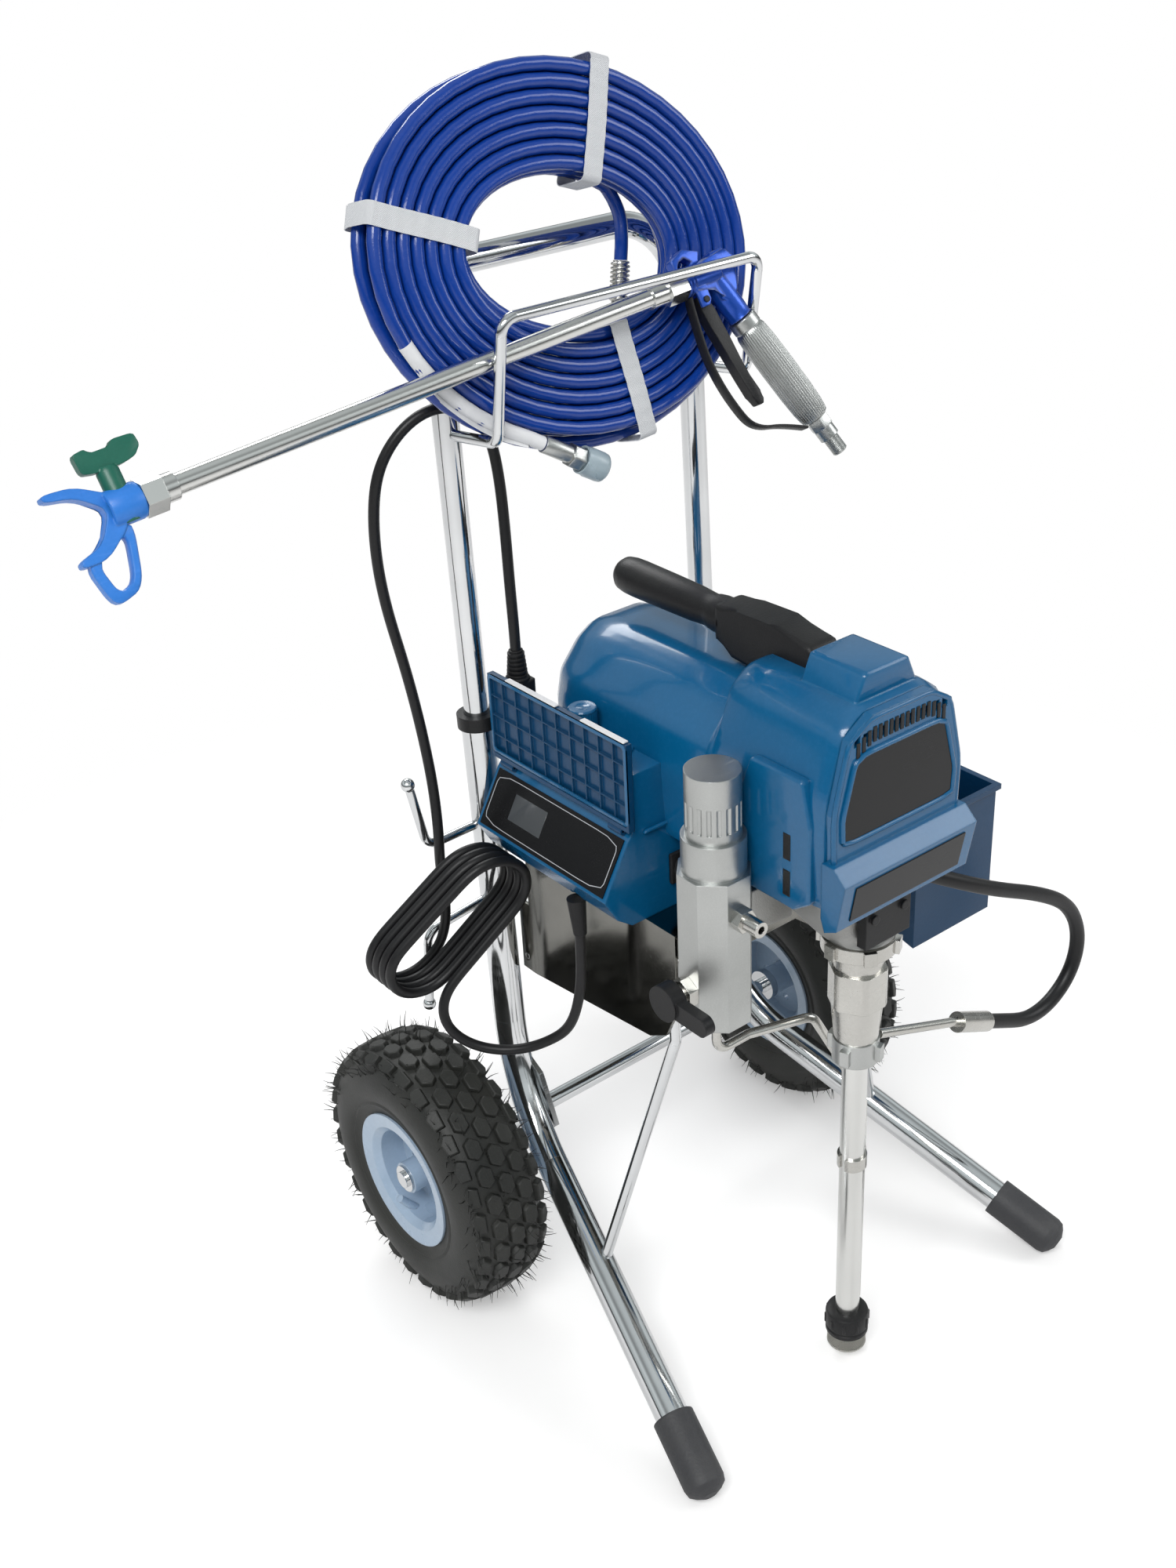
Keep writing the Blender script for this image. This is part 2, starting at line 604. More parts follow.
pumpLine = relax(smoothLine([(138.4, -330, 290.8), (160, -331, 281), (192, -332, 266), (226, -331, 268),
                             (254, -330, 290), (261, -329, 326), (243, -327, 364), (200, -325, 392),
                             (150, -323, 416), (110, -318, 438), (70, -306, 460), (50, -294, 469),
                             (33, -289, 472)], 4), 6)
pumpLine = millimetres(pumpLine)
pumpHose = tubeCurve("pumpHose", pumpLine, 0.0065, "cord")
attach(pumpHose, "cart")
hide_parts("pump_hose")

coil = {"mid": Vector((-20, 2, 917)), "lean": math.radians(15), "turn": math.radians(12), "a": 94, "b": 60,
        "turns": 7, "layers": 3, "pitch": 11.8, "start": 254}


def placeCoil(x, y, z):
    u = x * math.cos(coil["turn"]) + y * math.sin(coil["turn"])
    v = y * math.cos(coil["turn"]) - x * math.sin(coil["turn"])
    lean = coil["lean"]
    return coil["mid"] + Vector((u, v * math.sin(lean) + z * math.cos(lean), v * math.cos(lean) - z * math.sin(lean)))


def coilPoint(u):
    turns, layers, pitch = coil["turns"], coil["layers"], coil["pitch"]
    k = math.floor(u / turns)
    f = u / turns - k
    inset = turns * (1 - f) if k % 2 == 0 else turns * f
    near = round(u / turns)
    d = u - near * turns
    if near < 1 or near > layers - 1:
        layer = min(layers - 1, math.floor(u / turns))
    else:
        layer = near - 0.5 + max(-0.25, min(0.25, d)) * 2
    a = math.radians(coil["start"] - 360 * u)
    q = inset * pitch
    return placeCoil((coil["a"] + q) * math.cos(a), (coil["b"] + q) * math.sin(a), (layer - 1) * pitch)


coilSteps = 48
coilCount = coil["turns"] * coil["layers"] * coilSteps - 22
coilPoints = [coilPoint(i / coilSteps) for i in range(coilCount + 1)]
coilTail = (coilPoints[0] - coilPoint(1 / 24)).normalized()
coilEnd = [placeCoil(x, y, z * coil["pitch"])
           for x, y, z in ((63, 46, 1.35), (73, 34, 1.8), (77, 18, 2.2), (77, 2, 2.4))]
endRun = smoothLine([coilPoints[-1]] + coilEnd, 2)[1:]
coilLine = millimetres([coilPoints[0] + coilTail * 14] + coilPoints + endRun)
sprayHose = tubeCurve("sprayHose", coilLine, 0.0055, "hose")
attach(sprayHose, "hose")
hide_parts("hose_coil")
print("cords", round(lineLength(cordLine), 2), round(lineLength(pumpLine), 2), round(lineLength(coilLine), 2))


# repeated pieces by geometry nodes
def scatterTree():
    tree = bpy.data.node_groups.new("scatterPieces", "GeometryNodeTree")
    for label, kind in (("Geometry", "Geometry"), ("Piece", "Object"), ("Size Spread", "Float"),
                        ("Tilt Spread", "Float"), ("Seed", "Int"), ("Material", "Material")):
        tree.interface.new_socket(label, in_out="INPUT", socket_type="NodeSocket" + kind)
    tree.interface.new_socket("Geometry", in_out="OUTPUT", socket_type="NodeSocketGeometry")

    def add(kind, inputs, **values):
        node = tree.nodes.new(kind)
        for key, value in values.items():
            setattr(node, key, value)
        for key, value in inputs.items():
            if isinstance(value, bpy.types.NodeSocket):
                tree.links.new(value, node.inputs[key])
            else:
                node.inputs[key].default_value = value
        return node.outputs

    given, result = add("NodeGroupInput", {}), tree.nodes.new("NodeGroupOutput").inputs
    turned = add("GeometryNodeInputNamedAttribute", {"Name": "turn"}, data_type="FLOAT_VECTOR")
    info = add("GeometryNodeObjectInfo", {"Object": given["Piece"]})
    put = add("GeometryNodeInstanceOnPoints", {"Points": given["Geometry"], "Instance": info["Geometry"],
                                               "Rotation": turned["Attribute"]})
    ends = [add("ShaderNodeVectorMath", {0: (way, way, way), "Scale": given["Tilt Spread"]}, operation="SCALE")[0]
            for way in (-1, 1)]
    spread = add("FunctionNodeRandomValue", {0: ends[0], 1: ends[1], "Seed": given["Seed"]}, data_type="FLOAT_VECTOR")
    tip = add("GeometryNodeRotateInstances", {"Instances": put[0], "Rotation": spread[0]})
    low = add("ShaderNodeMath", {0: 1, 1: given["Size Spread"]}, operation="SUBTRACT")
    size = add("FunctionNodeRandomValue", {2: low[0], 3: 1, "Seed": given["Seed"]})
    grow = add("GeometryNodeScaleInstances", {"Instances": tip[0], "Scale": size[1]})
    real = add("GeometryNodeRealizeInstances", {0: grow[0]})
    paint = add("GeometryNodeSetMaterial", {"Geometry": real[0], "Material": given["Material"]})
    tree.links.new(paint[0], result["Geometry"])
    return tree


scatterGroup = scatterTree()


def scatter(name, places, piece, look, sizeSpread=0.0, tiltSpread=0.0, seed=1, degrees=38):
    mesh = bpy.data.meshes.new(name + "Points")
    mesh.from_pydata([tuple(p) for p, _ in places], [], [])
    turns = mesh.attributes.new("turn", "FLOAT_VECTOR", "POINT")
    for item, (_, rotation) in zip(turns.data, places):
        item.vector = rotation.to_euler()
    carrier = addObject(name + "Points", mesh)
    modifier = carrier.modifiers.new("scatter", "NODES")
    modifier.node_group = scatterGroup
    sockets = {item.name: item.identifier for item in scatterGroup.interface.items_tree if item.in_out == "INPUT"}
    for label, value in (("Piece", piece), ("Size Spread", float(sizeSpread)), ("Tilt Spread", float(tiltSpread)),
                         ("Seed", seed), ("Material", materials[look])):
        modifier[sockets[label]] = value
    bpy.context.view_layer.update()
    depsgraph = bpy.context.evaluated_depsgraph_get()
    result = bpy.data.meshes.new_from_object(carrier.evaluated_get(depsgraph))
    result.name = name
    bpy.data.objects.remove(carrier)
    shadeByAngle(result, degrees)
    done = addObject(name, result)
    return done


def seedPiece(name, bm):
    mesh = bpy.data.meshes.new(name)
    bmesh.ops.recalc_face_normals(bm, faces=bm.faces)
    bm.to_mesh(mesh)
    bm.free()
    piece = addObject(name, mesh)
    return piece


# tyres
tyre = {"radius": 130, "halfTrack": 225, "rows": (-31, -16, 0, 16, 31), "blocks": 30, "hairs": 460}
tyreHalf = [(59, 34), (63, 35.5), (68, 36), (73, 37.5), (76, 39.6), (78.5, 38.6), (82, 40.6), (90, 41.6), (97, 41.4),
            (103, 40), (108, 38.2), (113, 36), (118, 32.5), (121.5, 26), (123.5, 16)]
tyreProfile = [(r, -h) for r, h in tyreHalf] + [(124.4, 0)] + tyreHalf[::-1]


def treadRadius(y):
    points = [(h, r) for r, h in tyreProfile if r > 100]
    for (h0, r0), (h1, r1) in zip(points, points[1:]):
        if h0 <= y <= h1:
            return r0 + (r1 - r0) * (y - h0) / (h1 - h0)
    return 113


blockShapes = {}
for kind, outline in {
    "diamond": [(-11.8, 0), (-7.4, -7.4), (5.8, -8.0), (11.8, 0), (7.4, 7.4), (-5.8, 8.0)],
    "shoulder": [(-10.8, -5.2), (7.2, -6.6), (11.2, 1.8), (3.2, 7.6), (-10.0, 5.4)],
}.items():
    bm = bmesh.new()
    low = [bm.verts.new((x / 1000, y / 1000, -0.0022)) for x, y in outline]
    high = [bm.verts.new((x * 0.88 / 1000, y * 0.88 / 1000, 0.0040)) for x, y in outline]
    bm.faces.new(high)
    stitch(bm, [low, high])
    bmesh.ops.bevel(bm, geom=[e for e in bm.edges if any(f.normal.z > 0.9 for f in e.link_faces)] or list(bm.edges),
                    offset=0.0007, segments=1, affect="EDGES")
    blockShapes[kind] = seedPiece(kind + "Block", bm)

bm = bmesh.new()
hairPoints = [(0, 0, -0.002), (0.0002, 0, 0.004), (0.0012, 0.0002, 0.009), (0.0032, 0.0006, 0.0145)]
sweep(bm, hairPoints, lambda t: circle(0.0007 * (1 - 0.75 * t), 5))
hairSeed = seedPiece("hairSeed", bm)

rng = random.Random(7)
for side, body in ((-1, "left_wheel"), (1, "right_wheel")):
    name = "left" if side < 0 else "right"
    hub = Vector((side * tyre["halfTrack"] / 1000, 0, tyre["radius"] / 1000))
    toAxle = axisMatrix(hub, (1, 0, 0))
    bm = bmesh.new()
    lathe(bm, [(r / 1000, h / 1000) for r, h in tyreProfile + [(59, 20), (59, -20), (59, -34)]], toAxle, 128)
    casing = makePiece(name + "TyreCasing", bm, "tyre", 50)
    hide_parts("tyre_" + name)
    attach(casing, body)
    turned = toAxle.to_3x3()

    def onTread(angle, y, radius):
        out = turned @ Vector((math.cos(angle), math.sin(angle), 0))
        return hub + out * radius + turned @ Vector((0, 0, y)), out

    for kind in ("diamond", "shoulder"):
        places = []
        for row, y in enumerate(tyre["rows"]):
            if (abs(y) > 25) != (kind == "shoulder"):
                continue
            for i in range(tyre["blocks"]):
                angle = 2 * math.pi * (i + 0.5 * (row % 2)) / tyre["blocks"]
                p, out = onTread(angle, y / 1000, treadRadius(y) / 1000)
                across = turned @ Vector((0, 0, 1))
                tangent = across.cross(out)
                tipOut = (out + across * (0.62 * (1 if y > 0 else -1) if kind == "shoulder" else y * 0.006)).normalized()
                sideways = (tangent - tipOut * tangent.dot(tipOut)).normalized()
                m = Matrix((sideways, tipOut.cross(sideways), tipOut)).transposed()
                if kind == "shoulder" and y < 0:
                    m = m @ Matrix.Rotation(math.pi, 3, "Z")
                places.append((p, m))
        blocks = scatter(f"{name}{kind.title()}Blocks", places, blockShapes[kind], "tyre", 0.03, 0.03, 3, 30)
        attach(blocks, body)
    places = []
    for i in range(tyre["hairs"]):
        angle = rng.uniform(0, 2 * math.pi)
        y = rng.choice((-39, -37, -35, -33, -20, -8, 8, 20, 33, 35, 37, 39)) + rng.uniform(-1, 1)
        radius = treadRadius(y) + (4.5 if abs(y) < 30 else 1.5)
        p, out = onTread(angle, y / 1000, radius / 1000)
        across = turned @ Vector((0, 0, 1))
        lean = (out + across * (y / 46) * rng.uniform(0.5, 1.2)
                + across.cross(out) * rng.uniform(-0.5, 0.5)).normalized()
        if (p + lean * 0.015).z < 0.004:
            continue
        m = lean.to_track_quat("Z", "Y").to_matrix() @ Matrix.Rotation(rng.uniform(0, 6.28), 3, "Z")
        places.append((p, m))
    hairs = scatter(f"{name}TyreHairs", places, hairSeed, "tyre", 0.5, 0.25, 5)
    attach(hairs, body)
for piece in list(blockShapes.values()) + [hairSeed]:
    bpy.data.objects.remove(piece)
print("tyres built")


# woven ties round the coil
ties = {"angles": (80, 172, 292), "width": 17, "thick": 0.7, "corner": 5.0, "columns": 6}
for index, degrees in enumerate(ties["angles"]):
    a = math.radians(degrees)
    q = coil["turns"] * coil["pitch"] / 2
    middle = placeCoil((coil["a"] + q) * math.cos(a), (coil["b"] + q) * math.sin(a), 0)
    outward = (placeCoil((coil["b"] + 40) * math.cos(a), (coil["a"] + 40) * math.sin(a), 0) - coil["mid"]).normalized()
    deepWay = Vector((0, math.cos(coil["lean"]), -math.sin(coil["lean"])))
    along = outward.cross(deepWay).normalized()
    halfWide = q + 5.5 + 0.5
    halfDeep = coil["layers"] * coil["pitch"] / 2 + 0.2
    loop, corner = [], ties["corner"]
    for cx, cy, start in ((1, 1, 0), (-1, 1, 90), (-1, -1, 180), (1, -1, 270)):
        for k in range(7):
            t = math.radians(start + k * 15)
            loop.append((cx * (halfWide - corner) + corner * math.cos(t),
                         cy * (halfDeep - corner) + corner * math.sin(t)))
    dense = []
    for (x0, y0), (x1, y1) in zip(loop, loop[1:] + loop[:1]):
        steps = max(1, int(math.hypot(x1 - x0, y1 - y0) / 2.2))
        for k in range(steps):
            t = k / steps
            x, y = x0 + (x1 - x0) * t, y0 + (y1 - y0) * t
            if abs(y) > halfDeep - 0.6 and abs(x) < halfWide - 7:
                y -= math.copysign(0.5 * (0.5 - 0.5 * math.cos(2 * math.pi * x / coil["pitch"])), y)
            dense.append((x, y))
    bm = bmesh.new()
    uvLayer = bm.loops.layers.uv.new("UVMap")
    columns = ties["columns"]
    grid = []
    for level in (0.0, ties["thick"]):
        sheet = []
        for c in range(columns + 1):
            s = (c / columns - 0.5) * ties["width"]
            row = []
            for k, (x, y) in enumerate(dense):
                nx, ny = x / max(halfWide, 1), y / max(halfDeep, 1)
                size = math.hypot(nx, ny)
                row.append(bm.verts.new((middle + outward * (x + nx / size * level) + deepWay * (y + ny / size * level)
                           + along * (s + 0.5 * math.sin(k * 0.13 + index))) / 1000))
            sheet.append(row)
        grid.append(sheet)
    n = len(dense)
    for level, sheet in enumerate(grid):
        for c in range(columns):
            for k in range(n):
                j = (k + 1) % n
                face = bm.faces.new((sheet[c][k], sheet[c][j], sheet[c + 1][j], sheet[c + 1][k]))
                for corner2, (u, v) in zip(face.loops, ((k, c), (k + 1, c), (k + 1, c + 1), (k, c + 1))):
                    corner2[uvLayer].uv = (u * 0.0022, v * ties["width"] / columns / 1000)
    for c in (0, columns):
        for k in range(n):
            j = (k + 1) % n
            bm.faces.new((grid[0][c][k], grid[0][c][j], grid[1][c][j], grid[1][c][k]))
    tie = makePiece(f"wovenTie{index + 1}", bm, "band", 60)
    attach(tie, "hose")
    if index == 0:
        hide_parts("coil_ties")
print("ties built")


# blue shroud, lofted from rounded sections
shroud = {"x": -14, "z": 565, "around": 96}


def mirrored(half):
    return half + [(-x, z) for x, z in half[::-1]]


rearOutline = mirrored([(-73, -62), (-77, 2), (-70, 34), (-46, 62), (-26, 74)]) + [(40, -76), (-40, -76)]
frontOutline = mirrored([(-66, -60), (-70, 4), (-68, 34), (-53, 84), (-34, 98)]) + [(40, -64), (-40, -64)]
roundedOutlines = {}


def roundedRadius(outline, angle):
    key = tuple(outline)
    if key not in roundedOutlines:
        roundedOutlines[key] = cutCorners(outline, 1, 0.09)
    points = roundedOutlines[key]
    d = Vector((math.cos(angle), math.sin(angle), 0))
    best = 60
    for a, b in zip(points, points[1:] + points[:1]):
        e = b - a
        cross = d.x * e.y - d.y * e.x
        if abs(cross) < 1e-9:
            continue
        t = (a.x * e.y - a.y * e.x) / cross
        s = (a.x * d.y - a.y * d.x) / cross
        if t > 0 and -1e-6 <= s <= 1 + 1e-6:
            best = t
    return best


def loftRings(bm, rings):
    made = [[bm.verts.new(Vector(p) / 1000) for p in ring] for ring in rings]
    stitch(bm, made)
    bm.faces.new(made[0][::-1])
    bm.faces.new(made[-1])


def shroudRing(y, mixFront, scale, lift=0.0):
    ring = []
    for i in range(shroud["around"]):
        a = 2 * math.pi * i / shroud["around"]
        r = roundedRadius(rearOutline, a) * (1 - mixFront) + roundedRadius(frontOutline, a) * mixFront
        ring.append((shroud["x"] + r * scale * math.cos(a), y, shroud["z"] + r * scale * math.sin(a) + lift))
    return ring


sections = [(-16, 0, 0.34, 2), (-17.5, 0, 0.50, 2), (-21, 0, 0.64, 2), (-28, 0, 0.78, 1), (-40, 0, 0.89, 1),
            (-56, 0, 0.955, 0), (-76, 0, 0.99, 0), (-100, 0, 1.0, 0), (-160, 0, 1.0, 0), (-222, 0, 1.0, 0),
            (-226, 0, 0.995, 0), (-227, 0, 0.975, 0), (-229, 0.2, 0.97, 0), (-230, 0.6, 0.985, 0), (-233, 0.85, 1.0, 0),
            (-240, 1, 1.0, 0), (-262, 1, 1.0, 0), (-300, 1, 1.0, 0), (-336, 1, 1.0, 0), (-343, 1, 0.99, 0),
            (-347, 1, 0.965, 0), (-348, 1, 0.93, 0)]
bm = bmesh.new()
loftRings(bm, [shroudRing(*s) for s in sections])
extrude(bm, [(-0.034, 0.655), (-0.0215, 0.683), (0.0235, 0.683), (0.036, 0.655)], 0.056,
        frontWallAt(-0.014, -0.284), 0.004, 3)
shroudShell = makePiece("shroudShell", bm, "shell", 32)
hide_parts("motor_shroud")
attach(shroudShell, "cart")

# cheek with its slots, vents, beads and rims on the front
bm = bmesh.new()
extrude(bm, [(-0.262, 0.500), (-0.262, 0.575), (-0.276, 0.612), (-0.330, 0.612), (-0.339, 0.575), (-0.339, 0.512),
             (-0.322, 0.500)], 0.010, sideWall(-0.087), 0.0035, 3)
cheek = makePiece("shroudCheek", bm, "shell", 32)
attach(cheek, "cart")
bm = bmesh.new()
cheekSlot = {"front": -0.312, "back": -0.3195, "low": (0.542, 0.511), "tall": 0.022}
for z0 in cheekSlot["low"]:
    front, back, z1 = cheekSlot["front"], cheekSlot["back"], z0 + cheekSlot["tall"]
    extrude(bm, [(front, z0), (front, z1), (back, z1), (back, z0)], 0.0008,
            sideWall(-0.0875), 0.0003, 1)
frontFace = frontWallAt(-0.014, 0)
ventRow = {"each side": 8, "step": 0.0055}
for i in range(-ventRow["each side"], ventRow["each side"] + 1):
    x = i * ventRow["step"]
    top = 0.6505 - max(0, abs(x) - 0.03) * 0.55
    extrude(bm, [(x - 0.0018, top - 0.012), (x - 0.0018, top), (x + 0.0018, top), (x + 0.0018, top - 0.012)], 0.0010,
            frontFace @ Matrix.Translation((0, 0, 0.3558)), 0.0003, 1)
slots = makePiece("shroudVents", bm, "black", 38)
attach(slots, "cart")


def beadLoop(bm, outline, place, radius):
    line = [place @ p for p in cutCorners(outline, 2, 0.1)]
    sweep(bm, line + line[:1], circle(radius, 8), closed=False)


upperPlate = [(-0.055, 0.566), (-0.056, 0.588), (-0.044, 0.630), (0.044, 0.630), (0.056, 0.588), (0.055, 0.566)]
bm = bmesh.new()
beadLoop(bm, [(x * 1.045, z + (0.0022 if z > 0.6 else -0.0018)) for x, z in upperPlate],
         frontFace @ Matrix.Translation((0, 0, 0.3566)), 0.0021)
beadLoop(bm, [(x * 1.02, z) for x, z in ((-0.062, 0.527), (-0.064, 0.590), (-0.051, 0.644), (-0.030, 0.657),
              (0.030, 0.657), (0.051, 0.644), (0.064, 0.590), (0.062, 0.527))],
         frontFace @ Matrix.Translation((0, 0, 0.3545)), 0.0022)
beads = makePiece("coverBeads", bm, "shell", 60)
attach(beads, "cart")

# carry handle
bm = bmesh.new()
gripAxis = axisMatrix((-0.014, -0.046, 0.668), (0, -1, 0))
lathe(bm, [(r / 1000, h / 1000) for r, h in ((0, 0), (7, 0.8), (11.5, 3), (14.2, 7), (15.3, 14), (15.6, 24), (15.2, 60),
      (14.6, 92), (13.6, 106), (13.2, 112), (14.4, 116), (15.2, 122), (15.4, 132))], gripAxis, 48)
extrude(bm, [(0.174, 0.6835), (0.200, 0.6845), (0.236, 0.6855), (0.277, 0.6800), (0.286, 0.664), (0.286, 0.640),
             (0.224, 0.640), (0.196, 0.650), (0.174, 0.6525)], 0.030,
        Matrix(((0, 0, 1, -0.029), (-1, 0, 0, 0), (0, 1, 0, 0), (0, 0, 0, 1))), 0.005, 3)
carry = makePiece("carryGrip", bm, "black", 40)
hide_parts("carry_handle")
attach(carry, "cart")


# cast drive housing
def superRing(cx, cy, z, hx, hy, power, count=64):
    ring = []
    for i in range(count):
        a = 2 * math.pi * i / count
        c, s = math.cos(a), math.sin(a)
        ring.append((cx + hx * math.copysign(abs(c) ** (2 / power), c),
                     cy + hy * math.copysign(abs(s) ** (2 / power), s), z))
    return ring


bm = bmesh.new()
loftRings(bm, [superRing(-14, *ring) for ring in (
    (-296, 514, 46, 47, 5), (-296, 494, 46, 47, 5), (-296.5, 484, 44, 46, 4.5), (-299, 470, 38, 42, 3.4),
    (-306, 460, 33, 35, 2.8), (-314, 453, 30, 30, 2.3), (-321.5, 450, 28, 28, 2), (-321.5, 448.9, 27, 27, 2))])
for outline, y, depth, bevel in (  # arm to the manifold, foot on the bar, neck of the motor
        ([(-0.0845, 0.456), (-0.0845, 0.494), (-0.040, 0.496), (-0.040, 0.452)], -0.250, 0.026, 0.003),
        ([(-0.054, 0.4321), (-0.054, 0.470), (0.026, 0.470), (0.026, 0.4321)], -0.228, 0.020, 0.003),
        ([(-0.044, 0.460), (-0.044, 0.512), (0.016, 0.512), (0.016, 0.460)], -0.226, 0.030, 0.004)):
    extrude(bm, outline, depth, frontWallAt(0, y), bevel, 2)
casting = makePiece("driveCasting", bm, "casting", 40)
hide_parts("drive_housing")
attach(casting, "cart")

# control box trim: border line, window glass, lid strip, sensor pad
panelAngle = math.radians(180 - math.degrees(math.atan2(46, 26)))  # its slope
panelPlace = Matrix.Rotation(panelAngle, 4, "Y") @ Matrix.Diagonal((1, 1, -1, 1))


def onPanel(y, height):
    return Matrix.Translation((-0.126, y, 0.513)) @ panelPlace @ Matrix.Translation((0, 0, height))


bm = bmesh.new()
border = [(0.0035, 0.0035), (0.0465, 0.0035), (0.0465, 0.1605), (0.0035, 0.1605)]
beadLoop(bm, border, onPanel(-0.176, 0.00125), 0.00035)
lines = makePiece("panelBorder", bm, "line", 60)
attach(lines, "cart")
bm = bmesh.new()
extrude(bm, [(0.0125, 0.0145), (0.0355, 0.0145), (0.0355, 0.0575), (0.0125, 0.0575)], 0.0006,
        onPanel(-0.100, 0.00045), 0.0002, 1)
windowGlass = makePiece("panelWindow", bm, "glass", 40)
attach(windowGlass, "cart")
bm = bmesh.new()
for y0, y1 in ((-0.181, -0.128), (-0.096, -0.030)):
    extrude(bm, [(y0, 0.6004), (y1, 0.6004), (y1, 0.6018), (y0, 0.6018)], 0.0052,
            sideWall(-0.1276), 0.0004, 1)
strip = makePiece("lidStrip", bm, "paper", 40)
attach(strip, "lid")
bm = bmesh.new()
frontWall = frontWallAt(0, -0.1802)
extrude(bm, [(-0.086, 0.458), (-0.086, 0.486), (-0.060, 0.486), (-0.060, 0.458)], 0.004, frontWall, 0.0018, 2)
lathe(bm, [(0, 0.003), (0.0095, 0.003), (0.0095, 0.010), (0.0075, 0.012), (0, 0.012)],
      axisMatrix((-0.073, -0.1802, 0.472), (0, -1, 0)), 32)
sensor = makePiece("sensorPad", bm, "black", 38)
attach(sensor, "cart")
bm = bmesh.new()
extrude(bm, [(-0.112, 0.5160), (-0.060, 0.5160), (-0.060, 0.5185), (-0.109, 0.5185)], 0.0035, frontWall, 0.0008, 2)
lathe(bm, [(0, 0), (0.012, 0), (0.012, 0.0012), (0.0095, 0.0018), (0, 0.0018)],
      Matrix.Translation((-0.100, -0.140, 0.5702)), 32)
trim = makePiece("boxTrim", bm, "shell", 38)
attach(trim, "cart")

# ribbed knob, lid rim, strainer
bm = bmesh.new()
knob = {"ribs": 30, "outer": 0.0120, "groove": 0.0112}
outline = []
for i in range(knob["ribs"] * 4):
    r = knob["outer"] if i % 4 < 2 else knob["groove"]
    outline.append((r * math.cos(2 * math.pi * i / knob["ribs"] / 4), r * math.sin(2 * math.pi * i / knob["ribs"] / 4)))
knobPlace = Matrix.Translation((-0.103, -0.100, 0.5706))
extrude(bm, outline, 0.0205, knobPlace @ Matrix.Translation((0, 0, 0.0008)))
lathe(bm, [(0, 0), (0.0100, 0), (0.0106, 0.002), (0.0106, 0.0215), (0.0118, 0.0217), (0.0118, 0.0226), (0.0108, 0.0238),
           (0.0060, 0.0240), (0.0054, 0.0236), (0, 0.0236)], knobPlace, 48)
ribbedKnob = makePiece("ribbedKnob", bm, "shell", 34)
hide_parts("pressure_knob")
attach(ribbedKnob, "knob")

bm = bmesh.new()
lidFace = sideWall(-0.1287)
loop = []
for (x0, x1, z0, z1), r in (((-0.184, -0.006, 0.528, 0.600), 0.004), ((-0.1812, -0.0088, 0.5308, 0.5972), 0.003)):
    ring = []
    for cx, cz, start in ((x1 - r, z1 - r, 0), (x0 + r, z1 - r, 90), (x0 + r, z0 + r, 180), (x1 - r, z0 + r, 270)):
        for k in range(5):
            t = math.radians(start + 22.5 * k)
            ring.append((cx + r * math.cos(t), cz + r * math.sin(t)))
    loop.append(ring)
stitch(bm, [[bm.verts.new(lidFace @ Vector((x, z, d))) for x, z in loop[which]]
            for which, d in ((0, 0.002), (0, 0.0004), (1, 0), (1, 0.002))], around=True)
lidRim = makePiece("lidRim", bm, "shell", 40)
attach(lidRim, "lid")

strainerPlace = Matrix.Translation((-0.014, -0.3215, 0))
bm = bmesh.new()
lathe(bm, [(0.0105, 0.0505), (0.0150, 0.0505), (0.0182, 0.0490), (0.0190, 0.0465), (0.0190, 0.0345), (0.0178, 0.0335),
           (0.0178, 0.0315), (0.0187, 0.0308), (0.0187, 0.0275), (0.0172, 0.0268), (0.0172, 0.0262), (0.0100, 0.0262),
           (0.0100, 0.0505)], strainerPlace, 48)
for k in range(10):
    turn = Matrix.Rotation(2 * math.pi * k / 10, 4, "Z")
    extrude(bm, [(0.0186, -0.0012), (0.0199, -0.0012), (0.0199, 0.0012), (0.0186, 0.0012)], 0.010,
            strainerPlace @ turn @ Matrix.Translation((0, 0, 0.0355)), 0.0004, 1)
neck = makePiece("strainerNeck", bm, "black", 40)
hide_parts("strainer")
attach(neck, "cart")
bm = bmesh.new()
basket = {"wires": 56, "radius": 0.0167, "top": 0.0265, "tall": 0.0135, "twist": 0.42}
for k in range(basket["wires"]):
    for way in (-basket["twist"], basket["twist"]):
        wire = []
        for t in (i / 8 for i in range(9)):
            a = 2 * math.pi * k / basket["wires"] + way * t
            wire.append(strainerPlace @ Vector((basket["radius"] * math.cos(a), basket["radius"] * math.sin(a),
                                                basket["top"] - basket["tall"] * t)))
        sweep(bm, wire, circle(0.00028, 4))
lathe(bm, [(0.0160, 0.0135), (0.0170, 0.0135), (0.0172, 0.0125), (0.0168, 0.0120), (0, 0.0120), (0, 0.0128),
           (0.0155, 0.0128)], strainerPlace, 48)
lathe(bm, [(0.0150, 0.0262), (0.0158, 0.0262), (0.0158, 0.0130), (0.0150, 0.0130)], strainerPlace, 48)
mesh = makePiece("strainerBasket", bm, "screen", 40)
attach(mesh, "cart")

# gun
gunPlace = Matrix.Translation((0.084, -0.041, 0.887)) @ Matrix.Rotation(math.radians(-5.74), 4, "Y") \
    @ Matrix.Rotation(math.radians(-27), 4, "X")
gunFlat = gunPlace @ Matrix.Rotation(math.pi / 2, 4, "X")
gripPlace = gunPlace @ Matrix.Translation((0.009, 0, -0.006)) @ Matrix.Rotation(math.radians(161), 4, "Y")


def inMetres(outline):
    return [(x / 1000, y / 1000) for x, y in outline]


def flatOn(bm, outline, half, bevel, segments=3):
    extrude(bm, inMetres(outline), 2 * half / 1000, gunFlat @ Matrix.Translation((0, 0, -half / 1000)), bevel, segments)


